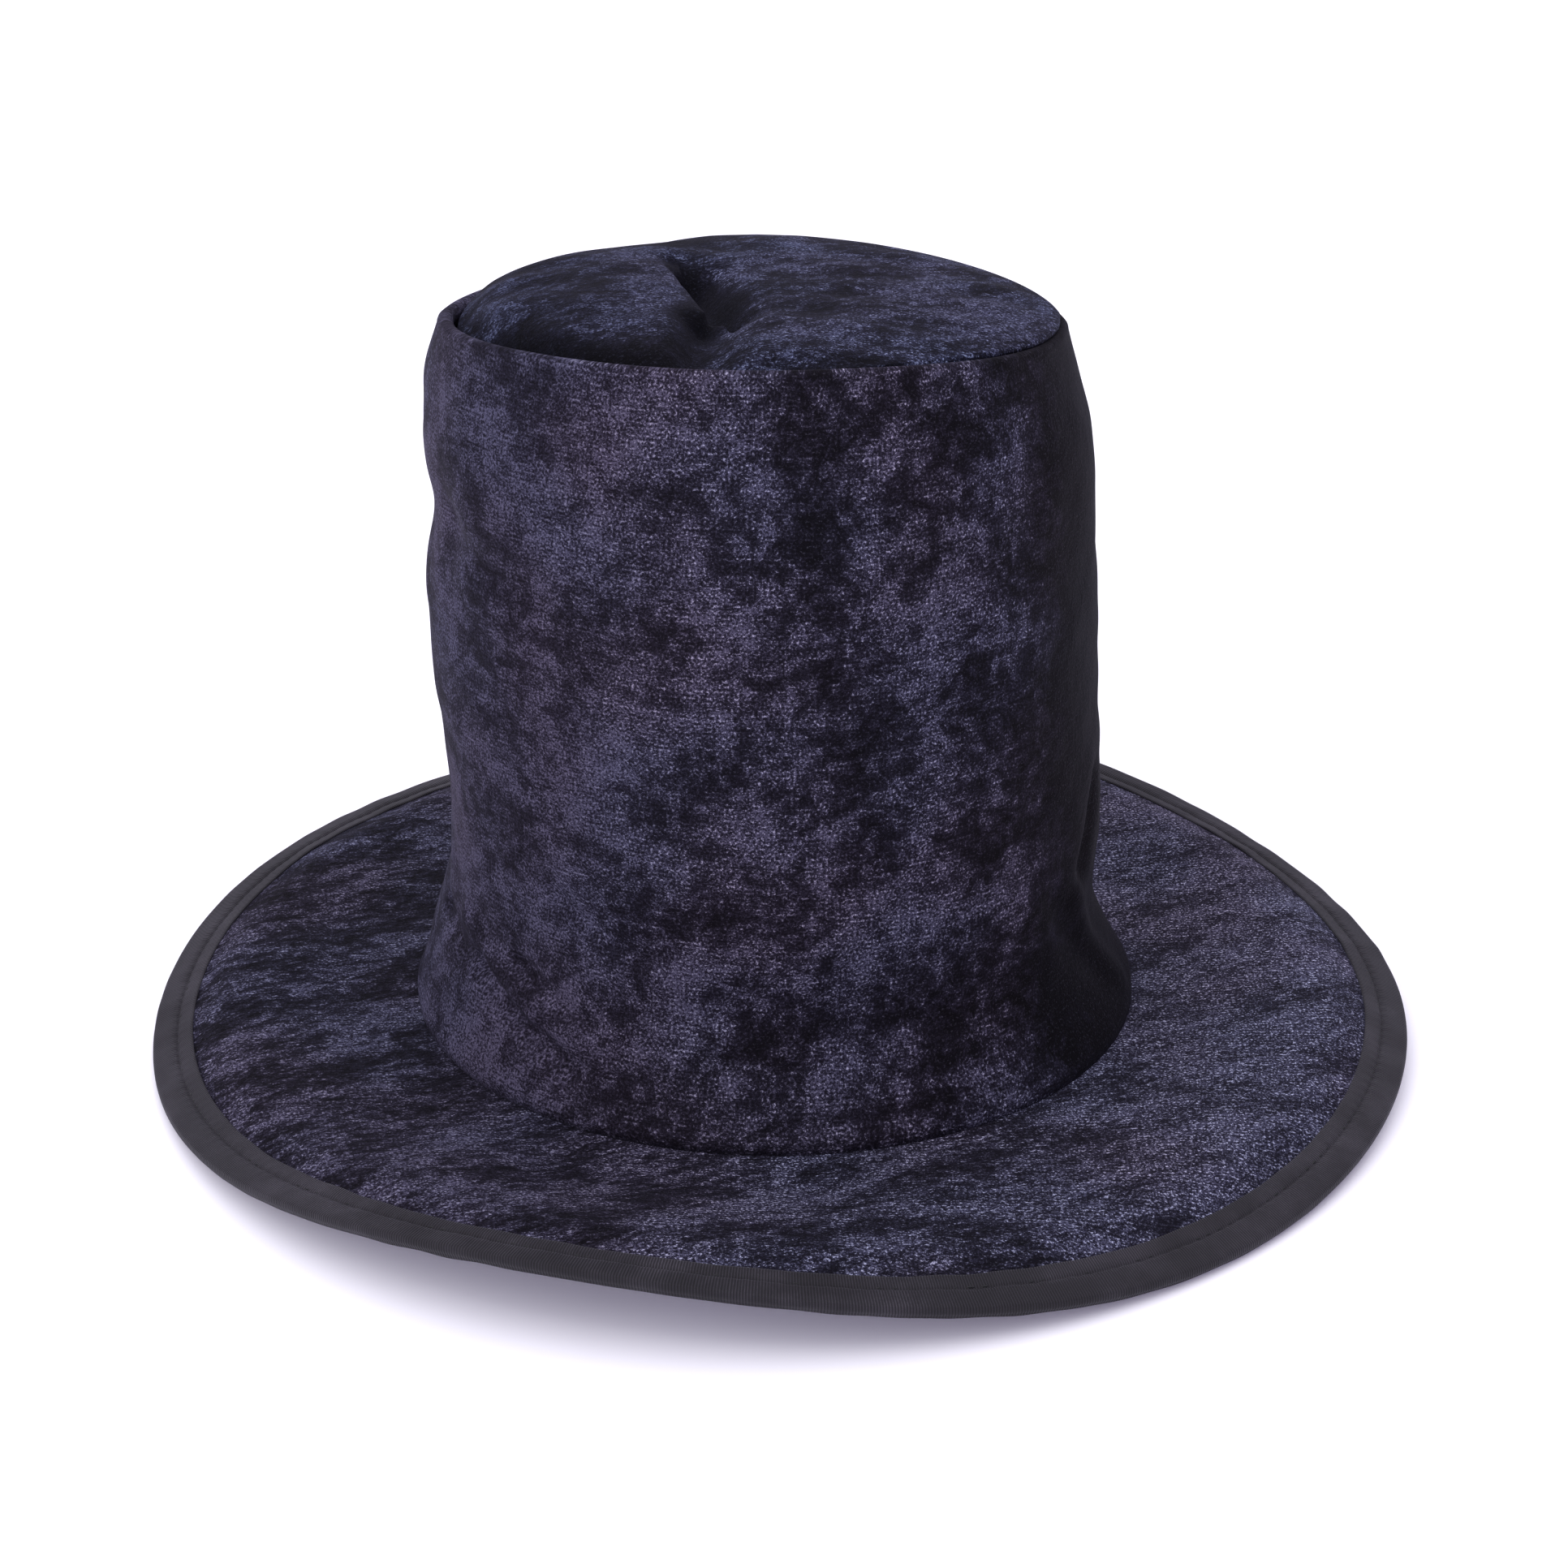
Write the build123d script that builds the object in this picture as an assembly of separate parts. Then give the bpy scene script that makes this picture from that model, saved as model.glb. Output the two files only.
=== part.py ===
from build123d import *
import math
import os

# A soft velvet top hat: a tall, slightly waisted crown on a wide wavy brim.
# Millimetres. +Z is up and the front of the hat faces -Y. The origin is on the surface that the
# hat stands on, under the middle of the crown. Angles are measured round +Z, starting from +X.
# Heights on the crown are measured from the seam, where the crown meets the top of the brim.

# ---- driving dimensions ----------------------------------------------------------------------
SEAM_RADIUS = 97.5          # outer face of the crown where it meets the brim
WAIST_RADIUS = 86.6         # outer face of the crown's straight stretch
TIP_SEAM_RADIUS = 78.5      # outer face of the crown at its top edge
BRIM_RADIUS = 172.3         # outer edge of the brim, binding included
CROWN_HEIGHT = 190.0        # from the seam to the crown's top edge
SEAM_HEIGHT = 11.5          # the seam, above the surface that the hat stands on
COLLAR_HEIGHT = 3.0         # lowest stretch of the crown, which stands upright
FLARE_HEIGHT = 37.0         # the crown has narrowed to the waist at this height
SHOULDER_HEIGHT = 60.0      # the crown closes in towards its tip over this height
BRIM_CROWNING = 3.4         # how far the brim arches between the seam and its edge

VELVET = 1.0                # crushed velvet of the crown, pile included
CROWN_FOAM = 1.8            # thin foam that stiffens the crown
LINING = 0.4                # woven lining of the crown
BAND = 0.8                  # sweatband
BRIM_VELVET = 0.9
BRIM_FOAM = 2.2             # firm foam board inside the brim
TAPE = 0.6                  # ribbed binding tape
JOIN_TAPE = 0.4             # tape over the join of the sweatband
LABEL = 0.3                 # plain woven label with nothing on it
THREAD = 0.3                # thickness of a row of sewing
GLUE_LINE = 0.05            # gap between layers that lie against each other

BAND_HEIGHT = 32.0          # width of the sweatband, from its lower to its upper edge
JOIN_TAPE_HEIGHT = 22.0
JOIN_TAPE_WIDTH = 12.0
LABEL_HEIGHT = 30.0
LABEL_WIDTH = 22.0
TAPE_WIDTH = 11.0           # how far the binding reaches in from the brim's edge
STITCH_INSET = 8.0          # from the brim's edge to the row of sewing in the binding
BONING_WIDTH = 1.8          # plastic boning that runs in the fold of the binding
BONING_HEIGHT = 2.0
TIP_RECESS = 2.0            # the tip lies this far below the crown's top edge

# The brim's edge rises and falls: (waves in one turn, height, direction of a crest in degrees)
EDGE_WAVES = (
    (1, 1.6, 121.0),
    (2, 6.2, 79.0),
    (3, 2.3, 9.0),
    (4, 2.7, 73.0),
)

# ---- sizes that follow -------------------------------------------------------------------------
BRIM_STACK = 2 * BRIM_VELVET + BRIM_FOAM + 2 * GLUE_LINE
BRIM_FOAM_DEPTH = BRIM_VELVET + GLUE_LINE
BRIM_UNDER_DEPTH = BRIM_FOAM_DEPTH + BRIM_FOAM + GLUE_LINE
CROWN_STACK = VELVET + CROWN_FOAM + LINING
BAND_OUTER_RADIUS = SEAM_RADIUS - CROWN_STACK
HEAD_RADIUS = BAND_OUTER_RADIUS - BAND
BRIM_HOLE_RADIUS = BAND_OUTER_RADIUS + GLUE_LINE
BONING_OUTER_RADIUS = BRIM_RADIUS - TAPE - GLUE_LINE
BRIM_CORE_RADIUS = BONING_OUTER_RADIUS - BONING_WIDTH - GLUE_LINE
BRIM_WIDTH = BRIM_RADIUS - SEAM_RADIUS
TAPE_TOP_DEPTH = -GLUE_LINE - TAPE                  # depths are measured down from the brim's top
TAPE_FOOT_DEPTH = BRIM_STACK + GLUE_LINE + TAPE
TIP_TOP = CROWN_HEIGHT - TIP_RECESS
TIP_VELVET_FOOT = TIP_TOP - VELVET
TIP_FOAM_FOOT = TIP_VELVET_FOOT - CROWN_FOAM
TIP_LINING_FOOT = TIP_FOAM_FOOT - LINING
BAND_TOP = BAND_HEIGHT - BRIM_STACK     # the band starts at the brim's under side

BACK = 90.0                 # direction of the back of the hat, in degrees
LABEL_DIRECTION = 118.0
WALL_STEP = 7.0             # spacing of the points that shape the crown's curve
WIDE = 500.0                # wider than the hat
CURVE_POINTS = 48           # points that shape each closed curve round the brim
BRIM_STRIPS = 5             # the brim's arch is drawn as this many sloping strips
STITCH_RADIUS = BRIM_RADIUS - STITCH_INSET
BINDING_INNER_RADIUS = BRIM_RADIUS - TAPE_WIDTH
STRIP = (BINDING_INNER_RADIUS - SEAM_RADIUS) / BRIM_STRIPS
SLOPE_RADII = [SEAM_RADIUS + STRIP * step for step in range(BRIM_STRIPS + 1)]
SLOPE_RADII += [STITCH_RADIUS, BRIM_CORE_RADIUS]


# ---- the brim's wavy surface -------------------------------------------------------------------
def edge_wave(angle):
    """Height of the brim's edge above its mean, in a direction given in radians."""
    return sum(
        height * math.cos(count * (angle - math.radians(crest)))
        for count, height, crest in EDGE_WAVES
    )


LOWEST_WAVE = min(edge_wave(math.radians(step / 4)) for step in range(4 * 360))


def brim_top(x, y):
    """Height of the brim's upper velvet over a point of the plan."""
    across = max(0.0, (math.hypot(x, y) - SEAM_RADIUS) / BRIM_WIDTH)
    edge = BRIM_STACK + GLUE_LINE + TAPE + edge_wave(math.atan2(y, x)) - LOWEST_WAVE
    lift = (edge - SEAM_HEIGHT) * across ** 2
    arch = 4 * BRIM_CROWNING * across ** 2 * (1 - across ** 2)
    return SEAM_HEIGHT + lift + arch


def brim_curve(radius, depth):
    """A closed curve round the brim at a radius, at a depth below the brim's top."""
    points = []
    for step in range(CURVE_POINTS):
        angle = 2 * math.pi * step / CURVE_POINTS
        x = radius * math.cos(angle)
        y = radius * math.sin(angle)
        points.append(Vector(x, y, brim_top(x, y) - depth))
    return Edge.make_spline(points, periodic=True)


def brim_ring(section):
    """A solid ring that follows the brim; its section is a list of (radius, depth) corners."""
    curves = [brim_curve(radius, depth) for radius, depth in section]
    faces = [
        Face.make_surface_from_curves(curve, following)
        for curve, following in zip(curves, curves[1:] + curves[:1])
    ]
    return Solid(Shell(faces))


def strip_radii(inner, outer):
    """The radii between two limits at which a ring of the brim changes slope."""
    return [inner] + [radius for radius in SLOPE_RADII if inner < radius < outer] + [outer]


def brim_layer(depth, thickness, inner, outer):
    """A ring of even thickness whose top is at a depth below the brim's top."""
    radii = strip_radii(inner, outer)
    top = [(radius, depth) for radius in radii]
    foot = [(radius, depth + thickness) for radius in reversed(radii)]
    return brim_ring(top + foot)


# ---- the crown's turned layers -----------------------------------------------------------------
def crown_radius(height):
    """Radius of the crown's outer face at a height above the seam."""
    up_flare = min(1.0, max(0.0, (height - COLLAR_HEIGHT) / (FLARE_HEIGHT - COLLAR_HEIGHT)))
    up_shoulder = max(0.0, 1 - (CROWN_HEIGHT - height) / SHOULDER_HEIGHT)
    flare = (SEAM_RADIUS - WAIST_RADIUS) * (1 - up_flare) ** 1.6
    shoulder = (WAIST_RADIUS - TIP_SEAM_RADIUS) * up_shoulder ** 2
    return WAIST_RADIUS + flare - shoulder


def wall_edges(inset):
    """One face of the crown wall in section: upright up to the collar, then one smooth curve."""
    steps = round((CROWN_HEIGHT - COLLAR_HEIGHT) / WALL_STEP)
    rise = (CROWN_HEIGHT - COLLAR_HEIGHT) / steps
    heights = [COLLAR_HEIGHT + rise * step for step in range(steps + 1)]
    curve = [(crown_radius(height) - inset, 0, SEAM_HEIGHT + height) for height in heights]
    foot = (SEAM_RADIUS - inset, 0, SEAM_HEIGHT + GLUE_LINE)
    return [Edge.make_line(foot, curve[0]), Edge.make_spline([Vector(*point) for point in curve])]


def wall(inset, thickness, direction=0.0, turn=360.0):
    """A full-height layer of the crown wall, centred on a direction and turned by an angle."""
    outer = wall_edges(inset)
    inner = wall_edges(inset + thickness)
    foot = Edge.make_line(outer[0] @ 0, inner[0] @ 0)
    head = Edge.make_line(outer[-1] @ 1, inner[-1] @ 1)
    section = Face(Wire(outer + inner + [foot, head]))
    return Rot(0, 0, direction - turn / 2) * revolve(section, Axis.Z, turn)


def core(inset):
    """Everything inside one face of the crown wall."""
    outer = wall_edges(inset)
    floor = Vector(0, 0, SEAM_HEIGHT + GLUE_LINE)
    ceiling = Vector(0, 0, SEAM_HEIGHT + CROWN_HEIGHT)
    foot = Edge.make_line(outer[0] @ 0, floor)
    axis = Edge.make_line(floor, ceiling)
    head = Edge.make_line(ceiling, outer[-1] @ 1)
    return revolve(Face(Wire(outer + [foot, axis, head])), Axis.Z, 360)


def between(low, high):
    """The space between two heights above the seam."""
    middle = SEAM_HEIGHT + (low + high) / 2
    return Pos(0, 0, middle) * Box(WIDE, WIDE, high - low)


def degrees_for(width, height):
    """The angle that a width takes up on the crown wall at a height."""
    return math.degrees(width / crown_radius(height))


# ---- rows of sewing ------------------------------------------------------------------------------
def tip_seam_stitching():
    """Row that joins the crown side to the tip, inside the turned-in edge."""
    return wall(VELVET, THREAD) & between(TIP_FOAM_FOOT - 2 * THREAD, TIP_FOAM_FOOT - THREAD)


def base_seam_stitching():
    """Row that joins the crown to the brim."""
    return wall(VELVET, THREAD) & between(2 * THREAD, 3 * THREAD)


def back_seam_stitching():
    """Upright row at the back, where the two ends of the crown side meet."""
    turn = degrees_for(THREAD, CROWN_HEIGHT / 2)
    return wall(VELVET, THREAD, BACK, turn) & between(4 * THREAD, TIP_FOAM_FOOT - 4 * THREAD)


def sweatband_stitching():
    """Row along the lower edge of the sweatband, just above the collar."""
    face = CROWN_STACK + BAND - THREAD
    return wall(face, THREAD) & between(COLLAR_HEIGHT + THREAD, COLLAR_HEIGHT + 2 * THREAD)


def binding_row(top, foot):
    """Row of sewing round the binding, between two depths."""
    return brim_layer(top, foot - top, STITCH_RADIUS - THREAD / 2, STITCH_RADIUS + THREAD / 2)


def binding_upper_stitching():
    return binding_row(TAPE_TOP_DEPTH, TAPE_TOP_DEPTH + THREAD)


def binding_under_stitching():
    return binding_row(TAPE_FOOT_DEPTH - THREAD, TAPE_FOOT_DEPTH)


# ---- the brim -------------------------------------------------------------------------------------
def brim_upper_velvet():
    return brim_layer(0, BRIM_VELVET, BRIM_HOLE_RADIUS, BRIM_CORE_RADIUS)


def brim_foam_board():
    return brim_layer(BRIM_FOAM_DEPTH, BRIM_FOAM, BRIM_HOLE_RADIUS, BRIM_CORE_RADIUS)


def brim_under_velvet():
    return brim_layer(BRIM_UNDER_DEPTH, BRIM_VELVET, BRIM_HOLE_RADIUS, BRIM_CORE_RADIUS)


def brim_edge_boning():
    """Springy strip that holds the wave of the brim's edge."""
    depth = (BRIM_STACK - BONING_HEIGHT) / 2
    inner = BONING_OUTER_RADIUS - BONING_WIDTH
    return brim_layer(depth, BONING_HEIGHT, inner, BONING_OUTER_RADIUS)


def grooved_face(face_depth, into_tape):
    """Outer face of one leg of the binding, with a groove for its row of sewing."""
    near = STITCH_RADIUS - THREAD / 2 - GLUE_LINE
    far = STITCH_RADIUS + THREAD / 2 + GLUE_LINE
    bottom = face_depth + into_tape * (THREAD + GLUE_LINE)
    return [
        (BINDING_INNER_RADIUS, face_depth),
        (near, face_depth),
        (near, bottom),
        (far, bottom),
        (far, face_depth),
        (BRIM_CORE_RADIUS, face_depth),
        (BRIM_RADIUS, face_depth),
    ]


def brim_binding():
    """Tape folded over the brim's edge, sewn through once all round."""
    pocket_radii = [radius for radius in SLOPE_RADII if radius > BINDING_INNER_RADIUS + GLUE_LINE]
    pocket_radii = [BINDING_INNER_RADIUS] + pocket_radii + [BRIM_RADIUS - TAPE]
    outside = grooved_face(TAPE_TOP_DEPTH, 1) + grooved_face(TAPE_FOOT_DEPTH, -1)[::-1]
    floor = [(radius, BRIM_STACK + GLUE_LINE) for radius in pocket_radii]
    ceiling = [(radius, -GLUE_LINE) for radius in reversed(pocket_radii)]
    return brim_ring(outside + floor + ceiling)


# ---- the crown ------------------------------------------------------------------------------------
def crown_side_velvet():
    return wall(0, VELVET)


def crown_side_foam():
    foam = wall(VELVET, CROWN_FOAM) & between(GLUE_LINE, TIP_FOAM_FOOT)
    return foam - tip_seam_stitching() - base_seam_stitching() - back_seam_stitching()


def crown_side_lining():
    return wall(VELVET + CROWN_FOAM, LINING) & between(GLUE_LINE, TIP_LINING_FOOT)


def crown_tip_velvet():
    return core(VELVET) & between(TIP_VELVET_FOOT, TIP_TOP)


def crown_tip_foam():
    return core(VELVET) & between(TIP_FOAM_FOOT, TIP_VELVET_FOOT)


def crown_tip_lining():
    return core(VELVET + CROWN_FOAM) & between(TIP_LINING_FOOT, TIP_FOAM_FOOT)


# ---- inside the head opening ----------------------------------------------------------------------
def sweatband():
    """Band round the head opening; its lowest stretch is upright and covers the brim's cut edge."""
    upper = wall(CROWN_STACK, BAND) & between(GLUE_LINE, BAND_TOP)
    lower = Cylinder(BAND_OUTER_RADIUS, BRIM_STACK + GLUE_LINE) - Cylinder(HEAD_RADIUS, WIDE)
    lower = Pos(0, 0, SEAM_HEIGHT + (GLUE_LINE - BRIM_STACK) / 2) * lower
    return upper + lower - sweatband_stitching()


def sweatband_join_tape():
    """Short upright tape over the join of the sweatband at the back."""
    top = BAND_TOP - 2 * JOIN_TAPE
    turn = degrees_for(JOIN_TAPE_WIDTH, top - JOIN_TAPE_HEIGHT / 2)
    return wall(CROWN_STACK + BAND, JOIN_TAPE, BACK, turn) & between(top - JOIN_TAPE_HEIGHT, top)


def blank_label():
    """Plain label sewn to the lining above the sweatband."""
    turn = degrees_for(LABEL_WIDTH, BAND_TOP)
    strip = wall(CROWN_STACK, LABEL, LABEL_DIRECTION, turn)
    return strip & between(BAND_TOP + LABEL, BAND_TOP + LABEL + LABEL_HEIGHT)


PIECES = (
    crown_side_velvet,
    crown_side_foam,
    crown_side_lining,
    crown_tip_velvet,
    crown_tip_foam,
    crown_tip_lining,
    brim_upper_velvet,
    brim_foam_board,
    brim_under_velvet,
    brim_edge_boning,
    brim_binding,
    sweatband,
    sweatband_join_tape,
    blank_label,
    tip_seam_stitching,
    base_seam_stitching,
    back_seam_stitching,
    sweatband_stitching,
    binding_upper_stitching,
    binding_under_stitching,
)

os.makedirs("parts", exist_ok=True)
for piece in PIECES:
    export_step(piece(), f"parts/{piece.__name__}.step")
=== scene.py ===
"""A soft top hat in crushed velvet: its looks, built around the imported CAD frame.

Metres. +Z is up and the front of the hat faces -Y. Angles are in radians round +Z, from +X, and
heights on the crown are measured from the seam where it meets the top of the brim.
"""

import math

import bpy
import numpy as np
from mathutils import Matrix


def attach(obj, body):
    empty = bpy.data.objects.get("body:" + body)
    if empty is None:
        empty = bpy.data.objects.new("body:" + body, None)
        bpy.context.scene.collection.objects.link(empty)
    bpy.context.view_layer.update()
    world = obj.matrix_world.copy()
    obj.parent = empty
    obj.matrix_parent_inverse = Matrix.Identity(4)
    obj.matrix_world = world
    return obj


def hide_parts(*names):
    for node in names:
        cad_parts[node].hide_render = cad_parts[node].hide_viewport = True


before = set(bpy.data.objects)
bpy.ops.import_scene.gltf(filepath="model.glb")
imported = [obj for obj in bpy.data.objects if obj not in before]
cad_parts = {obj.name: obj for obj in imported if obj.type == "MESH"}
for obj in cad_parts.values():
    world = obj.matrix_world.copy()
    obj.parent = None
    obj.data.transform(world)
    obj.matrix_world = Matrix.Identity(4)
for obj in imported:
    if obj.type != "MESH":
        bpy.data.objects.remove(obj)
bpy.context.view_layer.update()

MM = 0.001
FULL_TURN = 2 * math.pi

# ---- sizes of the CAD frame ----------------------------------------------------------------------
SEAM_RADIUS = 97.5 * MM         # outer face of the crown where it meets the brim
WAIST_RADIUS = 86.6 * MM
TIP_SEAM_RADIUS = 78.5 * MM
BRIM_RADIUS = 172.3 * MM
CROWN_HEIGHT = 190.0 * MM
SEAM_HEIGHT = 11.5 * MM
COLLAR_HEIGHT = 3.0 * MM
FLARE_HEIGHT = 37.0 * MM
SHOULDER_HEIGHT = 60.0 * MM
BRIM_CROWNING = 3.4 * MM
VELVET = 1.0 * MM
CROWN_FOAM = 1.8 * MM
LINING = 0.4 * MM
BAND = 0.8 * MM
BRIM_VELVET = 0.9 * MM
BRIM_FOAM = 2.2 * MM
TAPE = 0.6 * MM
GLUE_LINE = 0.05 * MM
TAPE_WIDTH = 11.0 * MM
STITCHES_ROUND = 277            # in each row of sewing on the binding
STITCH_INSET = 8.0 * MM
BONING_WIDTH = 1.8 * MM
BONING_HEIGHT = 2.0 * MM
BAND_HEIGHT = 32.0 * MM
BACK = math.radians(90)
LABEL_DIRECTION = math.radians(118)

EDGE_WAVES = (                  # waves in one turn, height, direction of a crest in degrees
    (1, 1.6 * MM, 121.0),
    (2, 6.2 * MM, 79.0),
    (3, 2.3 * MM, 9.0),
    (4, 2.7 * MM, 73.0),
)

BRIM_STACK = 2 * BRIM_VELVET + BRIM_FOAM + 2 * GLUE_LINE
BRIM_WIDTH = BRIM_RADIUS - SEAM_RADIUS
CROWN_STACK = VELVET + CROWN_FOAM + LINING
BRIM_HOLE_RADIUS = SEAM_RADIUS - CROWN_STACK + GLUE_LINE
EDGE_TUCK = 1.2 * MM            # the binding's lower side is drawn in by this much
BONING_OUTER_RADIUS = BRIM_RADIUS - TAPE - GLUE_LINE - EDGE_TUCK
BRIM_CORE_RADIUS = BONING_OUTER_RADIUS - BONING_WIDTH - GLUE_LINE
STITCH_RADIUS = BRIM_RADIUS - STITCH_INSET
BAND_TOP = BAND_HEIGHT - BRIM_STACK

# ---- how the soft hat has settled ----------------------------------------------------------------
CROWN_LEAN = 5.6 * MM           # the top of the crown leans this far towards -X
FOOT_LEAN = 2.4 * MM            # and the flare sits this far towards -X
TIP_SLOPE = 0.048               # the top falls towards the back by this much
TIP_SADDLE = 1.7 * MM           # and its two sides lie lower by twice this
TIP_DOME = 5.2 * MM             # the middle of the tip stands up by this much
TIP_PUFF = 3.2 * MM             # and its left half by this much more
TIP_PUFF_MIDDLE = -44 * MM      # where the puff is along X
TIP_PUFF_WIDTH = 28 * MM        # how far it reaches along X
TIP_PUFF_DEPTH = 44 * MM        # and along Y
TIP_GAP = 9 * MM                # the tip's edge drops behind the lip by this much at the front left
LIP_ROUND = 2.1 * MM            # radius of the crown's turned-in top edge
LIP_LEG = 5.0 * MM              # the velvet is turned down inside by this much
LIP_DIP = 2.2 * MM              # the lip lies below the tip's edge by this much at the back right
LIP_RISE = 1.0 * MM             # and stands proud by this much at the front left
FLUSH_DIRECTION = 60            # degrees: where the tip lies over the lip
PROUD_DIRECTION = 222           # degrees: where the lip stands clear of the tip
BACK_SQUEEZE = 3.0 * MM         # the top is drawn in by this much, half way to the back on each side
EDGE_SHRINK = 1.4 * MM          # the brim's edge is drawn in by this much all round
EDGE_FLAT = 0.8 * MM            # and by this much more at the front right
FLAT_DIRECTION = 312            # degrees
EDGE_SHIFT = 1.0 * MM           # the whole edge sits this far over towards one side
SHIFT_DIRECTION = 20            # degrees
EDGE_PINCH = 0.62               # the sewing presses the brim's edge thinner by this share
JOIN_DIRECTION = 8              # degrees: where the ends of the binding tape meet
JOIN_WIDTH = 5 * MM             # half the width of that join

# Folds in the crown wall: direction in degrees and height of each end, how far the wall stands out
# there (inwards below zero), and half the fold's width.
CROWN_FOLDS = (
    ((170, 138 * MM), (203, 142 * MM), -3.6 * MM, 12 * MM),
    ((203, 144 * MM), (232, 135 * MM), -1.5 * MM, 6 * MM),
    ((150, 178 * MM), (212, 178 * MM), 1.1 * MM, 9 * MM),
    ((170, 95 * MM), (206, 95 * MM), 1.1 * MM, 17 * MM),
    ((332, 158 * MM), (386, 158 * MM), 1.4 * MM, 17 * MM),
    ((243, 120 * MM), (274, 121 * MM), -0.5 * MM, 3 * MM),
    ((192, 30 * MM), (212, 27 * MM), -2.0 * MM, 3.4 * MM),
    ((212, 27 * MM), (238, 13 * MM), -2.9 * MM, 3.0 * MM),
    ((205, 37 * MM), (228, 24 * MM), 1.5 * MM, 3.6 * MM),
    ((223, 34 * MM), (240, 25 * MM), -1.8 * MM, 2.2 * MM),
    ((232, 56 * MM), (248, 45 * MM), -1.4 * MM, 3.2 * MM),
    ((346, 68 * MM), (338, 48 * MM), -2.4 * MM, 5 * MM),
    ((336, 42 * MM), (350, 10 * MM), 1.5 * MM, 5 * MM),
    ((326, 46 * MM), (342, 16 * MM), -0.9 * MM, 5 * MM),
    ((296, 35 * MM), (324, 39 * MM), 0.7 * MM, 3.5 * MM),
    ((60, 100 * MM), (48, 60 * MM), -1.4 * MM, 9 * MM),
    ((128, 72 * MM), (150, 54 * MM), -1.2 * MM, 7 * MM),
    ((20, 128 * MM), (34, 112 * MM), -1.1 * MM, 8 * MM),
)
# Creases in the tip: x and y of each end in mm from the tip's middle, depth, and half the width.
TIP_CREASES = (
    ((-69, 34), (-48, 55), 1.6 * MM, 5 * MM),
    ((-48, 55), (-28, 58), 2.2 * MM, 6 * MM),
    ((-20, 24), (-17, 12), 2.4 * MM, 5 * MM),
    ((-17, 14), (-8, -26), 8.4 * MM, 4.8 * MM),
    ((-12, -38), (-14, -64), 6.0 * MM, 6 * MM),
)
# Painted shade on the tip, along its creases and behind the lip: x and y of each end in mm, how dark,
# and half the width. They are given in the hat's frame, so they sit CROWN_LEAN further towards -X than the
# creases they follow.
TIP_PAINTED_SHADE = (
    ((-24, 22), (-12, -8), 0.8, 4.2 * MM),
    ((-12, -8), (-20, -36), 0.8, 4.5 * MM),
    ((-20, -36), (-22, -62), 0.5, 5.0 * MM),
    ((-68, -36), (-42, -60), 0.7, 3.5 * MM),
    ((-42, -60), (-16, -70), 0.7, 3.5 * MM),
    ((-56, 50), (-28, 44), 0.6, 3.6 * MM),
)


# ---- shape helpers -------------------------------------------------------------------------------
def smooth(x):
    """0 below 0, 1 above 1, and a smooth step between."""
    x = np.clip(x, 0, 1)
    return x * x * (3 - 2 * x)


def rising(value, start, end):
    """0 up to the start, 1 from the end, and a smooth step between."""
    return smooth((value - start) / (end - start))


def bell(x):
    return np.exp(-x * x)


def turned_from(direction, angle):
    """An angle measured from a direction in degrees, as at most half a turn either way."""
    return (angle - math.radians(direction) + math.pi) % FULL_TURN - math.pi


def soft_field(angle, distance, girth, wavelength, seed):
    """A smooth seeded field, mostly from -1 to 1, that closes up after a full turn."""
    chance = np.random.default_rng(seed)
    waves = 16
    total = 0
    for _ in range(waves):
        heading = chance.uniform(0, FULL_TURN)
        length = wavelength * chance.uniform(0.7, 1.5)
        around = round(FULL_TURN * girth / length * math.cos(heading))
        across = FULL_TURN / length * math.sin(heading)
        total = total + np.cos(around * angle + across * distance + chance.uniform(0, FULL_TURN))
    return total / math.sqrt(waves)


def from_line(x, y, start, end):
    """Distance from a straight line between two points."""
    run = np.subtract(end, start)
    share = ((x - start[0]) * run[0] + (y - start[1]) * run[1]) / (run @ run)
    share = np.clip(share, 0, 1)
    return np.hypot(x - start[0] - share * run[0], y - start[1] - share * run[1])


def side_of_line(x, y, start, end):
    """1 on the left of a line, seen from its start to its end, and -1 on its right."""
    run = np.subtract(end, start)
    return np.sign(run[0] * (y - start[1]) - run[1] * (x - start[0]))


# ---- the crown's shape ---------------------------------------------------------------------------
def crown_radius(height):
    up_flare = np.clip((height - COLLAR_HEIGHT) / (FLARE_HEIGHT - COLLAR_HEIGHT), 0, 1)
    up_shoulder = np.clip(1 - (CROWN_HEIGHT - height) / SHOULDER_HEIGHT, 0, 1)
    flare = (SEAM_RADIUS - WAIST_RADIUS) * (1 - up_flare) ** 1.6
    return WAIST_RADIUS + flare - (WAIST_RADIUS - TIP_SEAM_RADIUS) * up_shoulder ** 2


TIP_RADIUS = crown_radius(CROWN_HEIGHT - LIP_ROUND) - 2 * LIP_ROUND - GLUE_LINE


def crown_swell(angle, height):
    """How far the soft wall stands out from its even shape."""
    swell = 0
    for start, end, out, half_width in CROWN_FOLDS:
        along = turned_from((start[0] + end[0]) / 2, angle) * WAIST_RADIUS
        half = math.radians(end[0] - start[0]) / 2 * WAIST_RADIUS
        away = from_line(along, height, (-half, start[1]), (half, end[1]))
        swell = swell + out * bell(away / half_width)
    free = rising(height, 0, 22 * MM) * (1 - 0.6 * rising(height, 165 * MM, 185 * MM))
    broad = 0.3 * MM * soft_field(angle, height, WAIST_RADIUS, 55 * MM, 11)
    small = 0.13 * MM * soft_field(angle, height, WAIST_RADIUS, 17 * MM, 12)
    return swell * rising(height, 0, 8 * MM) + free * (broad + small)


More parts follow.
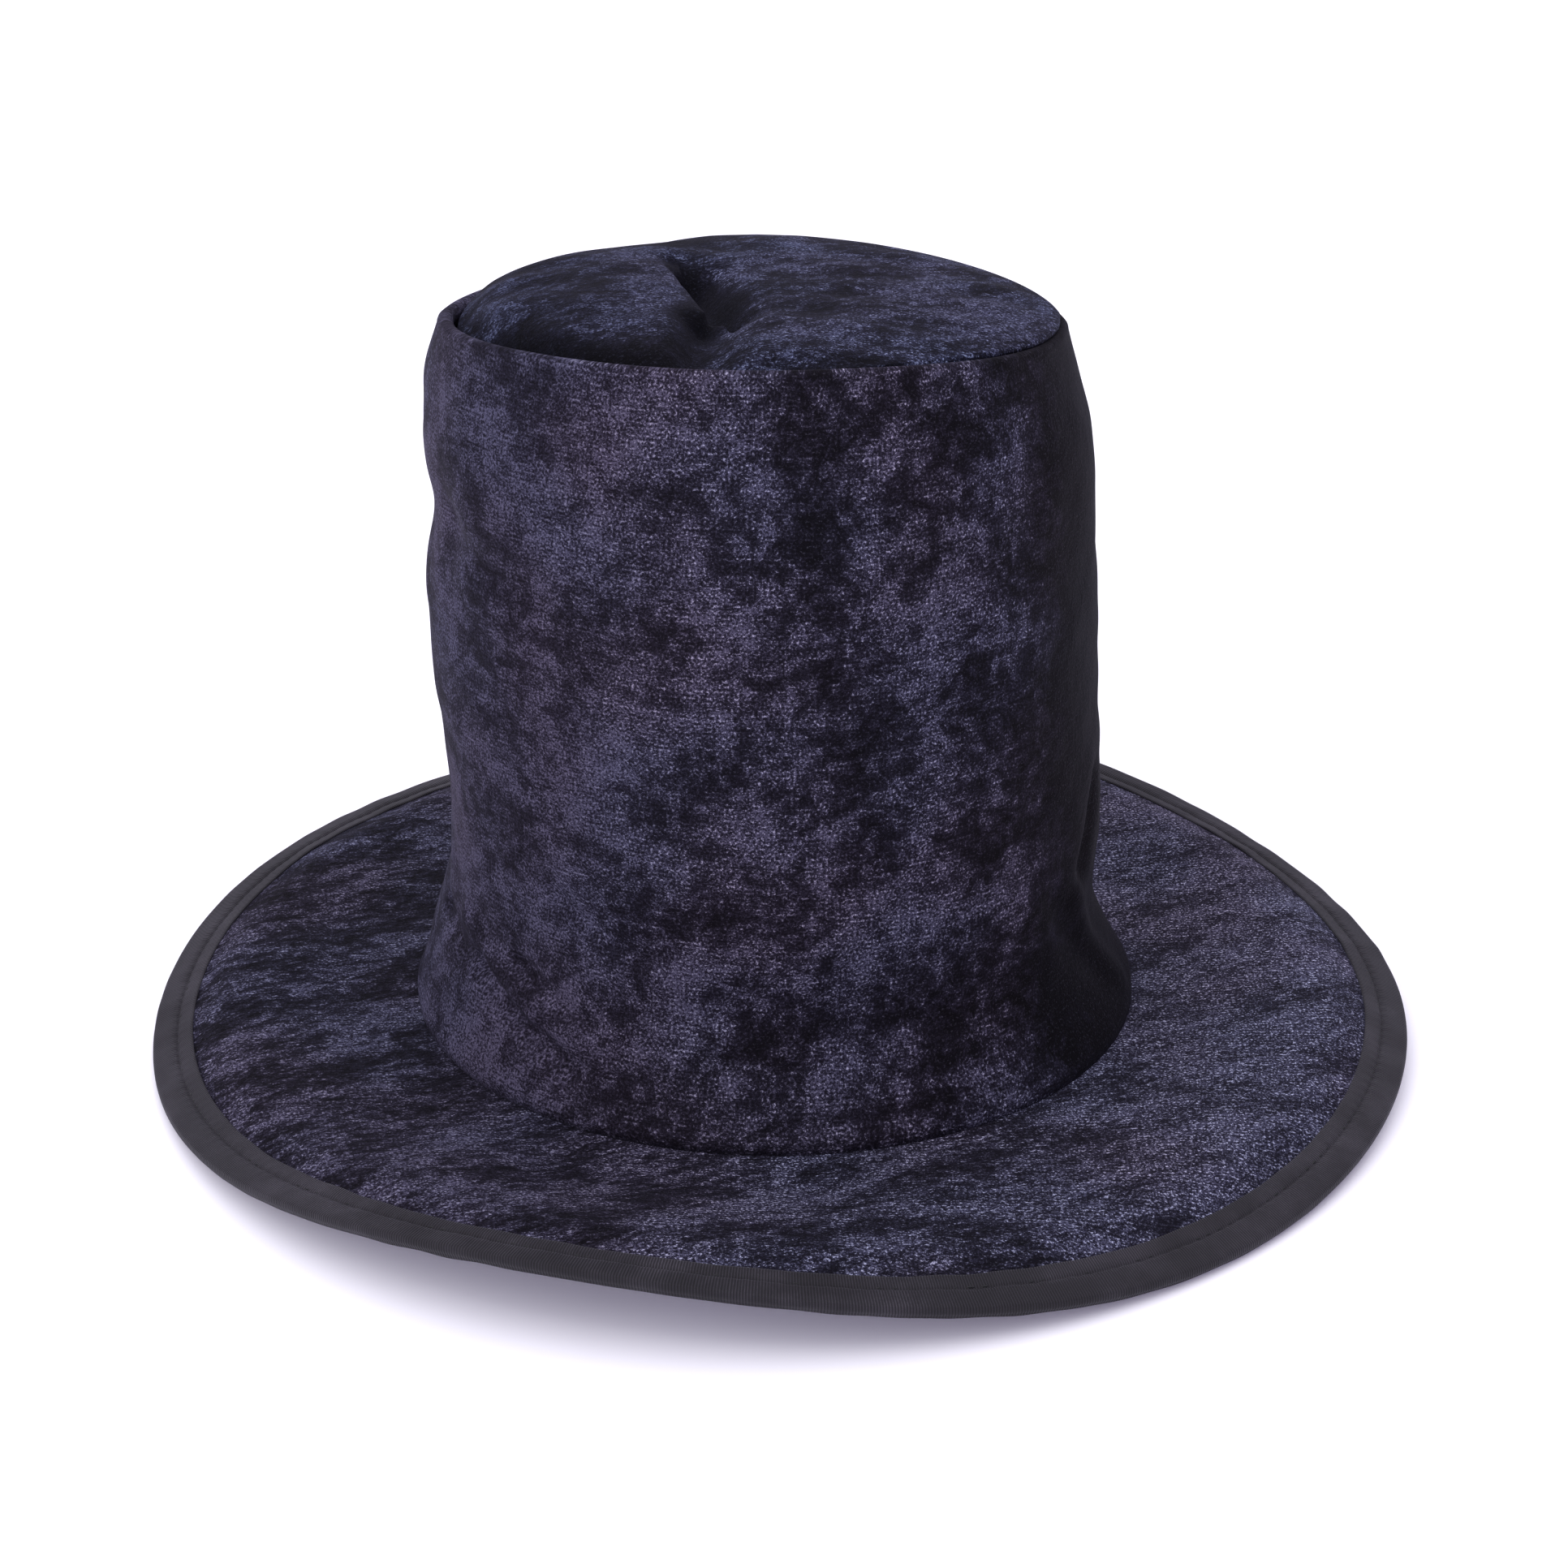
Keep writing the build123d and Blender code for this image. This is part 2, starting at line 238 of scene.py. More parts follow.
def top_squeeze(angle):
    """How far the crown's top edge is drawn in, towards the back on both sides."""
    behind = np.clip(np.sin(angle), 0, 1)
    return BACK_SQUEEZE * (2 * behind * np.abs(np.cos(angle)) + 0.3 * behind)


def flush(angle):
    """1 where the tip lies over the crown's lip, at the back right, and 0 where the lip stands proud."""
    return smooth(0.75 + np.cos(angle - math.radians(FLUSH_DIRECTION)))


def crown_point(angle, height, inset=0.0):
    """Points on the crown wall, moved inwards from the outer face of its velvet."""
    lean = CROWN_LEAN * rising(height, 40 * MM, 170 * MM)
    lean = lean + FOOT_LEAN * bell((height - 24 * MM) / (18 * MM))
    level = np.minimum(height, CROWN_HEIGHT - LIP_ROUND)
    squeeze = top_squeeze(angle) * rising(level, 150 * MM, CROWN_HEIGHT)
    out = crown_radius(level) + crown_swell(angle, level) - squeeze - inset
    x = out * np.cos(angle) - lean
    y = out * np.sin(angle)
    fall = TIP_SLOPE * y + TIP_SADDLE * np.cos(2 * angle)
    fall = fall * rising(height, 100 * MM, CROWN_HEIGHT)
    proud = LIP_RISE * bell(turned_from(PROUD_DIRECTION, angle) / 0.6)
    fall = fall + (LIP_DIP * flush(angle) - proud) * rising(height, 160 * MM, CROWN_HEIGHT)
    return np.stack(np.broadcast_arrays(x, y, SEAM_HEIGHT + height - fall), axis=-1)


def tip_point(angle, radius, depth=0.0):
    """Points on the sunk tip, below its velvet's upper face by a depth."""
    share = radius / TIP_RADIUS
    reach = radius - top_squeeze(angle) * share ** 2 + LIP_ROUND * flush(angle) ** 2 * share ** 8
    x = reach * np.cos(angle)
    y = reach * np.sin(angle)
    to_edge = TIP_RADIUS - radius
    dome = TIP_DOME * (1 - share ** 5)
    puff = TIP_PUFF * bell(((x - TIP_PUFF_MIDDLE) / TIP_PUFF_WIDTH) ** 2) * bell((y / TIP_PUFF_DEPTH) ** 2)
    crease = 0
    for start, end, deep, half_width in TIP_CREASES:
        start = np.multiply(start, MM)
        end = np.multiply(end, MM)
        width = half_width * (1.15 + 0.45 * side_of_line(x, y, start, end))
        crease = crease + deep * bell(from_line(x, y, start, end) / width)
    gap = TIP_GAP * bell(turned_from(PROUD_DIRECTION, angle) / 0.7) * bell(to_edge / (6 * MM))
    turn_in = 0.6 * MM + (LIP_LEG - 0.9 * MM) * (1 - flush(angle)) ** 4
    turn_in = turn_in * bell(to_edge / (0.4 * MM))
    ripple = 0.3 * MM * soft_field(x / WAIST_RADIUS, y, WAIST_RADIUS, 24 * MM, 21)
    ripple = ripple * rising(to_edge, 0, 12 * MM)
    up = CROWN_HEIGHT - 0.3 * MM + dome + puff - crease - gap - turn_in + ripple
    fall = TIP_SLOPE * y + TIP_SADDLE * np.cos(2 * angle) * share ** 2
    z = SEAM_HEIGHT + up - fall - depth
    return np.stack(np.broadcast_arrays(x - CROWN_LEAN, y, z), axis=-1)


# ---- the brim's shape ----------------------------------------------------------------------------
def edge_wave(angle):
    return sum(
        height * np.cos(count * (angle - math.radians(crest)))
        for count, height, crest in EDGE_WAVES
    )


LOWEST_WAVE = edge_wave(np.linspace(0, FULL_TURN, 1440)).min()


def brim_point(angle, radius, depth=0.0):
    """Points in the brim, below its upper velvet's face by a depth."""
    across = np.maximum(0, (radius - SEAM_RADIUS) / BRIM_WIDTH)
    edge = BRIM_STACK + GLUE_LINE + TAPE + edge_wave(angle) - LOWEST_WAVE
    lift = (edge - SEAM_HEIGHT) * across ** 2
    arch = 4 * BRIM_CROWNING * across ** 2 * (1 - across ** 2)
    free = smooth(across / 0.25) * smooth((1 - across) / 0.3)
    ripple = 0.35 * MM * free * soft_field(angle, radius, SEAM_RADIUS, 38 * MM, 31)
    keep = 1 - EDGE_PINCH * rising(radius, 150 * MM, 164 * MM)
    within = np.clip(depth, 0, BRIM_STACK)
    foot = SEAM_HEIGHT + lift + arch + ripple - BRIM_STACK
    z = foot + (BRIM_STACK - within) * keep - (depth - within)
    drawn_in = EDGE_SHRINK + EDGE_FLAT * bell(turned_from(FLAT_DIRECTION, angle) / 0.6)
    drawn_in = drawn_in - EDGE_SHIFT * np.cos(angle - math.radians(SHIFT_DIRECTION))
    reach = radius - drawn_in * across ** 2
    return np.stack(np.broadcast_arrays(reach * np.cos(angle), reach * np.sin(angle), z), axis=-1)


# ---- mesh helpers --------------------------------------------------------------------------------
def mesh_object(name, points, faces, material, node):
    """A smooth mesh piece that stands for a CAD node."""
    mesh = bpy.data.meshes.new(name)
    mesh.from_pydata(points.tolist(), [], faces)
    mesh.update()
    mesh.shade_smooth()
    mesh.materials.append(material)
    piece = bpy.data.objects.new(name, mesh)
    bpy.context.scene.collection.objects.link(piece)
    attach(piece, "root")
    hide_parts(node)
    return piece


def all_round(count):
    """A column of angles for one full turn, from the back seam."""
    return (np.arange(count) / count * FULL_TURN + BACK)[:, None]


def ring_faces(around, along):
    """Faces of a grid of points that closes up both ways, with the section running clockwise."""
    i, j = np.meshgrid(np.arange(around), np.arange(along), indexing="ij")
    i, j = i.ravel(), j.ravel()
    next_i = (i + 1) % around
    next_j = (j + 1) % along
    return np.stack([i * along + j, i * along + next_j, next_i * along + next_j, next_i * along + j], 1)


def ring(name, section, around, material, node):
    """A closed ring; section(angle) gives the points of its section, upper or outer face first."""
    points = section(all_round(around))
    faces = ring_faces(around, points.shape[1]).tolist()
    return mesh_object(name, points.reshape(-1, 3), faces, material, node)


def disc(name, radii, place, thickness, around, material, node):
    """A thin round sheet; place(angle, radius, depth) gives its points."""
    angle = all_round(around)
    upper = place(angle, radii[None, ::-1], 0.0)
    lower = place(angle, radii[None, :], thickness)
    points = np.concatenate([upper, lower], axis=1)
    along = points.shape[1]
    innermost = len(radii) - 1
    faces = [face[::-1].tolist() for face in ring_faces(around, along) if face[0] % along != innermost]

    middle = np.zeros((1, 1))
    centres = [place(middle, middle, depth)[0] for depth in (0.0, thickness)]
    upper_centre = around * along
    lower_centre = upper_centre + 1
    for row in range(around):
        here = row * along + innermost
        after = (row + 1) % around * along + innermost
        faces.append([after, upper_centre, here])
        faces.append([lower_centre, after + 1, here + 1])
    points = np.concatenate([points.reshape(-1, 3)] + centres)
    return mesh_object(name, points, faces, material, node)


def sewn_row(name, node, line, out, pitch, length, thickness, seed):
    """Separate stitches along a line of points; out points away from the cloth."""
    chance = np.random.default_rng(seed)
    steps = np.linalg.norm(np.diff(line, axis=0), axis=1)
    distance = np.concatenate([[0], np.cumsum(steps)])
    count = round(distance[-1] / pitch)
    sides, rings = 8, 7
    points = []
    faces = []
    turn = np.arange(sides) / sides * FULL_TURN
    for stitch in range(count):
        middle = (stitch + 0.5) / count * distance[-1] + chance.normal(0, 0.06) * pitch
        reach = np.linspace(-0.5, 0.5, rings) * length * chance.uniform(0.88, 1.08)
        spine = np.stack([np.interp(middle + reach, distance, line[:, k]) for k in range(3)], 1)
        up = np.array([np.interp(middle, distance, out[:, k]) for k in range(3)])
        up = up / np.linalg.norm(up)
        ahead = spine[-1] - spine[0]
        ahead = ahead / np.linalg.norm(ahead)
        side = np.cross(ahead, up)
        round_off = np.sqrt(np.maximum(0.05, 1 - (2.02 * reach / length) ** 2))
        sink = 0.55 * thickness * (1 - round_off)
        spoke = side * np.cos(turn)[:, None] + up * np.sin(turn)[:, None]
        for spot, size, down in zip(spine, round_off, sink):
            points.append(spot - up * down + spoke * size * thickness / 2)
        base = stitch * sides * rings
        for low in range(base, base + (rings - 1) * sides, sides):
            for corner in range(sides):
                after = (corner + 1) % sides
                faces.append([low + corner, low + after, low + sides + after, low + sides + corner])
        faces.append([base + corner for corner in range(sides)][::-1])
        faces.append([base + (rings - 1) * sides + corner for corner in range(sides)])
    return mesh_object(name, np.concatenate(points), faces, thread, node)


# ---- material helpers ----------------------------------------------------------------------------
PILE_ROW = 1.45 * MM            # from one row of the velvet's pile to the next
TAPE_RIB = 0.72 * MM            # from one rib of the binding tape to the next
# Where the velvet's painted side light and painted glints change across the hat, from the middle of its
# front.
# The side light is partly a change in how the pile is laid, partly painted light on the left and painted
# shade on the right. On the wall this is measured round the crown, whose back seam is about 270 mm away.
FROM_LEFT = (-70 * MM, 20 * MM)
TO_RIGHT = (45 * MM, 115 * MM)
TO_FULL_GLINT = (-75 * MM, -5 * MM)
PAST_RIGHT = (125 * MM, 195 * MM)
PAST_LEFT = (-215 * MM, -140 * MM)


class Look:
    """One procedural material, with short ways to add its nodes."""

    def __init__(self, name, roughness, specular=0.5, sheen=0.0, sheen_roughness=0.3, tint=(1, 1, 1)):
        self.material = bpy.data.materials.new(name)
        self.material.use_nodes = True
        self.tree = self.material.node_tree
        self.shader = self.tree.nodes["Principled BSDF"]
        self.shader.inputs["Roughness"].default_value = roughness
        self.shader.inputs["Specular IOR Level"].default_value = specular
        self.shader.inputs["Sheen Weight"].default_value = sheen
        self.shader.inputs["Sheen Roughness"].default_value = sheen_roughness
        self.shader.inputs["Sheen Tint"].default_value = (*tint, 1)
        self.place = self.add("ShaderNodeTexCoord").outputs["Object"]

    def add(self, kind, inputs=None, **settings):
        made = self.tree.nodes.new(kind)
        for key, value in settings.items():
            setattr(made, key, value)
        for key, value in (inputs or {}).items():
            if isinstance(value, bpy.types.NodeSocket):
                self.tree.links.new(value, made.inputs[key])
            else:
                made.inputs[key].default_value = value
        return made

    def maths(self, operation, *values):
        made = self.add("ShaderNodeMath", dict(enumerate(values)), operation=operation)
        return made.outputs[0]

    def vector(self, operation, first, second):
        made = self.add("ShaderNodeVectorMath", {0: first, 1: second}, operation=operation)
        return made.outputs[0]

    def parts(self, place):
        """The X, Y and Z of a place."""
        return self.add("ShaderNodeSeparateXYZ", {0: place}).outputs

    def mix(self, factor, first, second, blend="MIX"):
        inputs = {"Factor": factor, 6: first, 7: second}
        made = self.add("ShaderNodeMix", inputs, data_type="RGBA", blend_type=blend)
        return made.outputs[2]

    def weighed(self, *pairs):
        """The sum of values, each times its weight."""
        total = self.maths("MULTIPLY", *pairs[0])
        for value, weight in pairs[1:]:
            total = self.maths("ADD", total, self.maths("MULTIPLY", value, weight))
        return total

    def noise(self, place, size, detail=2.0, roughness=0.5, distortion=0.0):
        """Noise with features of about the given size."""
        inputs = {
            "Vector": place, "Scale": 1 / size, "Detail": detail,
            "Roughness": roughness, "Distortion": distortion,
        }
        return self.add("ShaderNodeTexNoise", inputs)

    def between(self, value, low, high, to_low=0.0, to_high=1.0):
        """A smooth step from one value to another."""
        inputs = {"Value": value, "From Min": low, "From Max": high, "To Min": to_low, "To Max": to_high}
        made = self.add("ShaderNodeMapRange", inputs, interpolation_type="SMOOTHSTEP")
        return made.outputs["Result"]

    def warp(self, place, size, reach, detail=1.0):
        """The same place, pushed about by noise."""
        push = self.vector("SUBTRACT", self.noise(place, size, detail).outputs["Color"], (0.5, 0.5, 0.5))
        return self.vector("ADD", place, self.vector("MULTIPLY", push, (reach, reach, reach)))

    def ramp(self, value, *stops):
        made = self.add("ShaderNodeValToRGB", {"Fac": value})
        elements = made.color_ramp.elements
        while len(elements) < len(stops):
            elements.new(0.5)
        for element, (position, colour) in zip(elements, stops):
            element.position = position
            element.color = (*colour, 1)
        return made.outputs["Color"]

    def near_line(self, start, end, half_width):
        """1 on a line between two points of the XY plane, and 0 at twice the half width from it."""
        run = np.subtract(end, start)
        over = self.vector("MULTIPLY", self.place, (1, 1, 0))
        from_start = self.vector("SUBTRACT", over, (*start, 0))
        per_run = run / (run @ run)
        share = self.add("ShaderNodeVectorMath", {0: from_start, 1: (*per_run, 0)}, operation="DOT_PRODUCT")
        share = self.add("ShaderNodeClamp", {"Value": share.outputs["Value"]}).outputs[0]
        nearest = self.add("ShaderNodeVectorMath", {0: (*run, 0), "Scale": share}, operation="SCALE")
        away = self.add("ShaderNodeVectorMath", {0: from_start, 1: nearest.outputs[0]}, operation="DISTANCE")
        return self.between(away.outputs["Value"], 0.5 * half_width, 2 * half_width, 1.0, 0.0)

    def round_the_axis(self, girth):
        """Places unrolled from round the hat's axis: (along, 0, height), with the join at the back."""
        parts = self.parts(self.place)
        front = self.maths("MULTIPLY", parts["Y"], -1.0)
        angle = self.maths("ARCTAN2", parts["X"], front)
        along = self.maths("MULTIPLY", angle, girth)
        made = self.add("ShaderNodeCombineXYZ", {"X": along, "Z": parts["Z"]})
        return made.outputs[0]

    def bump(self, height, distance, strength=1.0, under=None):
        inputs = {"Height": height, "Distance": distance, "Strength": strength}
        if under is not None:
            inputs["Normal"] = under
        return self.add("ShaderNodeBump", inputs).outputs["Normal"]

    def finish(self, colour, normal=None):
        self.tree.links.new(colour, self.shader.inputs["Base Color"])
        if normal is not None:
            self.tree.links.new(normal, self.shader.inputs["Normal"])
        return self.material


def crushed_velvet(name, on_wall, turn, stretch, patch_size, lie_and_side_light, painted_glint_strength, tint, painted_shade_lines=()):
    """Crushed velvet: pile pressed flat in light and dark patches, with painted glints on its ends.

    turn is the direction of the strokes in degrees, and stretch how long they are against their
    width. lie says how light it is on the left, in the middle and on the right: partly how the pile is
    laid, partly painted light on the left and painted shade on the right. sparkle says how strong the
    painted glints on its ends are on the left and elsewhere, and tint is its cast. Painted shade darkens
    it along the hollows, which are given like TIP_PAINTED_SHADE. On the wall, the left and the right fade to
    the middle again towards the back seam.
    """
    look = Look(name, roughness=0.8, specular=0.05, sheen=0.03, sheen_roughness=0.4, tint=(0.72, 0.68, 1.0))
    flat = look.round_the_axis(WAIST_RADIUS) if on_wall else look.place
    across = -math.radians(turn)
    turned = look.add(
        "ShaderNodeVectorRotate",
        {"Vector": flat, "Rotation": (0, across, 0) if on_wall else (0, 0, across)},
        rotation_type="EULER_XYZ",
    ).outputs[0]
    strokes = look.vector("MULTIPLY", turned, (1 / stretch, 1, 1))
    pushed = look.warp(strokes, 14 * MM, 7 * MM, 2.0)
    pushed = look.warp(pushed, 1.6 * MM, 1.3 * MM, 2.0)

    large = look.between(look.noise(pushed, patch_size, 6.0, 0.66).outputs["Fac"], 0.36, 0.64)
    small = look.between(look.noise(pushed, patch_size / 6, 5.0, 0.74).outputs["Fac"], 0.40, 0.63)
    crush = look.weighed((large, 0.55), (small, 0.45))

    # Painted light on the left and painted shade on the right, partly a real change in how the pile is laid.
    sideways = look.parts(look.warp(flat, 40 * MM, 24 * MM))["X"]
    left, middle, right = lie_and_side_light
    from_left = look.between(sideways, *FROM_LEFT, left, middle)
    to_right = look.between(sideways, *TO_RIGHT, 0.0, right - middle)
    side_lie_and_light = look.maths("ADD", from_left, to_right)
    # How strong the painted glints are; they are weaker on the left.
    near, far = painted_glint_strength
    painted_glint_share = look.between(sideways, *TO_FULL_GLINT, near, far)
    if on_wall:
        past_right = look.between(sideways, *PAST_RIGHT, 0.0, middle - right)
        past_left = look.between(sideways, *PAST_LEFT, middle - left, 0.0)
        side_lie_and_light = look.maths("ADD", side_lie_and_light, look.maths("ADD", past_right, past_left))
        painted_glint_share_again = look.between(sideways, *PAST_LEFT, far - near, 0.0)
        painted_glint_share = look.maths("ADD", painted_glint_share, painted_glint_share_again)
    room = look.maths("SUBTRACT", 1.0, look.maths("ABSOLUTE", side_lie_and_light))
    lie_and_painted_light = look.maths("ADD", look.maths("MULTIPLY", crush, room), side_lie_and_light)
    # Painted shade: the colour is darkened along each of these lines, in the tip's creases and behind its
    # lip.
    for start, end, dark, half_width in painted_shade_lines:
        painted_shade = look.near_line(np.multiply(start, MM), np.multiply(end, MM), half_width)
        light = look.maths("SUBTRACT", 1.0, look.maths("MULTIPLY", painted_shade, dark))
        lie_and_painted_light = look.maths("MULTIPLY", lie_and_painted_light, light)

    height = look.parts(look.warp(flat, 4 * MM, 0.9 * MM))["Z" if on_wall else "Y"]
    rows = look.maths("SINE", look.maths("MULTIPLY", height, FULL_TURN / PILE_ROW))
    grain = look.noise(look.vector("MULTIPLY", flat, (0.85, 1, 1)), 0.6 * MM, 2.0, 0.75).outputs["Fac"]
    tuft = look.between(grain, 0.36, 0.64, 0.5, 1.5)
    tuft = look.maths("ADD", tuft, look.maths("MULTIPLY", rows, 0.07))
    colour = look.ramp(
        look.maths("MULTIPLY", lie_and_painted_light, tuft),
        (0.0, (0.0026, 0.0020, 0.0029)),
        (0.25, (0.0074, 0.0060, 0.0100)),
        (0.55, (0.0190, 0.0163, 0.0272)),
        (1.0, (0.0720, 0.0650, 0.1030)),
    )
    # Painted glints: pale specks on the pile ends, mixed into the colour.
    bright = look.maths("ADD", grain, look.maths("MULTIPLY", rows, 0.03))
    painted_glint = look.between(bright, 0.57, 0.69)
    painted_glint = look.maths("MULTIPLY", painted_glint, look.between(lie_and_painted_light, 0.3, 0.8, 0.04, 0.62))
    colour = look.mix(look.maths("MULTIPLY", painted_glint, painted_glint_share), colour, (0.56, 0.53, 0.66, 1))
    red, green, blue = tint
    warm = (1.03 * red, 0.98 * green, 0.98 * blue, 1)
    cool = (0.95 * red, 1.01 * green, 1.04 * blue, 1)
    cast = look.between(look.noise(flat, 50 * MM, 1.0).outputs["Fac"], 0.35, 0.65)
    colour = look.mix(1.0, colour, look.mix(cast, warm, cool), "MULTIPLY")

    normal = look.bump(large, 0.25 * MM, 0.5)
    normal = look.bump(small, 0.2 * MM, 0.6, normal)
    normal = look.bump(grain, 0.22 * MM, 0.8, normal)
    return look.finish(colour, normal)


def ribbed_tape():
    """Charcoal grosgrain: fine ribs across the tape, slightly faded where it is handled."""
    look = Look("ribbed_tape", roughness=0.78, specular=0.25, sheen=0.12, tint=(0.8, 0.78, 0.9))
    flat = look.round_the_axis(BRIM_RADIUS)
    along = look.parts(look.warp(flat, 9 * MM, 0.5 * MM))["X"]
    ribs = look.maths("SINE", look.maths("MULTIPLY", along, FULL_TURN / TAPE_RIB))
    yarn = look.noise(look.vector("MULTIPLY", flat, (1, 1, 3)), 0.3 * MM, 2.0, 0.7).outputs["Fac"]
    worn = look.between(look.noise(look.place, 22 * MM, 4.0, 0.6).outputs["Fac"], 0.35, 0.7)
    colour = look.ramp(
        look.weighed((ribs, 0.2), (yarn, 0.5), (worn, 0.25)),
        (0.1, (0.008, 0.007, 0.009)),
        (0.5, (0.0235, 0.0212, 0.0275)),
        (0.9, (0.078, 0.070, 0.087)),
    )
    normal = look.bump(ribs, 0.07 * MM, 0.9)
    normal = look.bump(yarn, 0.05 * MM, 0.6, normal)
    return look.finish(colour, normal)


def woven(name, dark, light, pitch, roughness, sheen, on_wall=True):
    """A plain weave with a little wear and slub."""
    look = Look(name, roughness=roughness, specular=0.35, sheen=sheen)
    flat = look.round_the_axis(WAIST_RADIUS) if on_wall else look.place
    parts = look.parts(look.warp(flat, 8 * MM, 0.3 * MM))
    upright = parts["Z" if on_wall else "Y"]
    warp_yarn = look.maths("SINE", look.maths("MULTIPLY", parts["X"], FULL_TURN / pitch))
    weft_yarn = look.maths("SINE", look.maths("MULTIPLY", upright, FULL_TURN / pitch))
    weave = look.maths("MULTIPLY", warp_yarn, weft_yarn)
    slub = look.noise(look.vector("MULTIPLY", flat, (1, 1, 6)), 5 * MM, 3.0, 0.6).outputs["Fac"]
    cloud = look.noise(look.place, 30 * MM, 3.0).outputs["Fac"]
    colour = look.ramp(look.weighed((weave, 0.2), (slub, 0.45), (cloud, 0.5)), (0.15, dark), (0.85, light))
    return look.finish(colour, look.bump(weave, 0.08 * MM, 0.8))


def foam_sheet():
    """Open-cell foam, pale grey, with pores."""
    look = Look("foam_sheet", roughness=0.95, specular=0.15)
    cells = look.add("ShaderNodeTexVoronoi", {"Vector": look.place, "Scale": 1 / (1.1 * MM)})
    pores = look.between(cells.outputs["Distance"], 0.1, 0.6)
    blotch = look.noise(look.place, 12 * MM, 3.0).outputs["Fac"]
    tone = look.weighed((pores, 0.5), (blotch, 0.5))
    colour = look.ramp(tone, (0.1, (0.035, 0.035, 0.04)), (0.9, (0.11, 0.11, 0.12)))
    return look.finish(colour, look.bump(pores, 0.3 * MM, 0.7))


def boning_plastic():
    """Translucent-looking milky nylon strip with faint drawing lines."""
    look = Look("boning_plastic", roughness=0.38, specular=0.5)
    flat = look.round_the_axis(BRIM_RADIUS)
    lines = look.noise(look.vector("MULTIPLY", flat, (0.05, 1, 1)), 0.4 * MM, 2.0).outputs["Fac"]
    colour = look.ramp(lines, (0.2, (0.42, 0.42, 0.40)), (0.8, (0.58, 0.58, 0.55)))
    return look.finish(colour, look.bump(lines, 0.03 * MM, 0.5))


def sewing_thread():
    """Black twisted polyester thread."""
    look = Look("sewing_thread", roughness=0.6, specular=0.35, sheen=0.1)
    twist = look.noise(look.place, 0.25 * MM, 2.0, 0.7).outputs["Fac"]
    colour = look.ramp(twist, (0.25, (0.003, 0.003, 0.004)), (0.8, (0.010, 0.010, 0.013)))
    return look.finish(colour, look.bump(twist, 0.06 * MM, 0.8))


crown_velvet = crushed_velvet(
    "crown_velvet", on_wall=True, turn=0, stretch=1.2, patch_size=26 * MM,
    lie_and_side_light=(0.25, 0.05, -0.5), painted_glint_strength=(0.15, 1.0), tint=(0.97, 0.97, 1.02),
)
# The tip's tint is darker than the wall's: painted shade on the top of the hat.
tip_velvet = crushed_velvet(
    "tip_velvet", on_wall=False, turn=35, stretch=1.4, patch_size=18 * MM,
    lie_and_side_light=(-0.06, 0.0, -0.02), painted_glint_strength=(0.4, 0.9), tint=(0.66, 0.78, 0.93), painted_shade_lines=TIP_PAINTED_SHADE,
)
brim_velvet = crushed_velvet(
    "brim_velvet", on_wall=False, turn=24, stretch=2.4, patch_size=13 * MM,
    lie_and_side_light=(0.0, 0.08, 0.32), painted_glint_strength=(0.7, 1.35), tint=(0.95, 0.99, 1.05),
)
tape = ribbed_tape()
foam = foam_sheet()
boning = boning_plastic()
thread = sewing_thread()
LINING_TONES = ((0.010, 0.010, 0.013), (0.040, 0.040, 0.048))
lining = woven("lining_cloth", *LINING_TONES, 0.5 * MM, 0.42, 0.1)
tip_lining = woven("tip_lining_cloth", *LINING_TONES, 0.5 * MM, 0.42, 0.1, on_wall=False)
band_cloth = woven("band_cloth", (0.012, 0.012, 0.014), (0.038, 0.037, 0.042), 0.9 * MM, 0.85, 0.15)
join_cloth = woven("join_cloth", (0.014, 0.014, 0.016), (0.045, 0.044, 0.05), 0.7 * MM, 0.8, 0.1)
label_cloth = woven("label_cloth", (0.45, 0.45, 0.44), (0.72, 0.72, 0.70), 0.45 * MM, 0.6, 0.2)


# ---- the crown -----------------------------------------------------------------------------------
def spaced(start, end, step):
    """Values from start to end, about a step apart."""
    return np.linspace(start, end, max(2, round(abs(end - start) / step) + 1))


def crown_side_section(angle):
    """The side velvet: up the wall, over the rounded edge, down inside, and back."""
    bend = np.linspace(0, math.pi, 13)[1:]
    insets = []
    heights = []
    for skin, step in ((0, 1.4 * MM), (VELVET, 3 * MM)):
        wall = spaced(0.1 * MM, CROWN_HEIGHT - LIP_ROUND, step)
        tight = LIP_ROUND - skin
        leg = CROWN_HEIGHT - LIP_LEG
        inset = np.concatenate([
            np.full(len(wall), skin),
            LIP_ROUND - tight * np.cos(bend),
            np.full(2, LIP_ROUND + tight),
        ])
        height = np.concatenate([
            wall,
            CROWN_HEIGHT - LIP_ROUND + tight * np.sin(bend),
            [CROWN_HEIGHT - LIP_ROUND - 1.2 * MM, leg],
        ])
        insets.append(inset if skin == 0 else inset[::-1])
        heights.append(height if skin == 0 else height[::-1])
    return crown_point(angle, np.concatenate(heights)[None, :], np.concatenate(insets)[None, :])


def crown_layer_section(inset, thickness, low, high, step=2.5 * MM, wrinkle=0.0):
    """A plain layer of the crown wall; a wrinkle stands inwards, away from the layer outside it."""
    def section(angle):
        up = spaced(low, high, step)
        heights = np.concatenate([up, up[::-1]])[None, :]
        insets = np.concatenate([np.full(len(up), inset), np.full(len(up), inset + thickness)])[None, :]
        if wrinkle:
            fold = 0.5 + 0.5 * soft_field(angle, heights * 0.25, WAIST_RADIUS, 26 * MM, 41)
            insets = insets + wrinkle * np.clip(fold, 0, 1.6) * rising(heights, low, low + 12 * MM)
        return crown_point(angle, heights, insets)
    return section


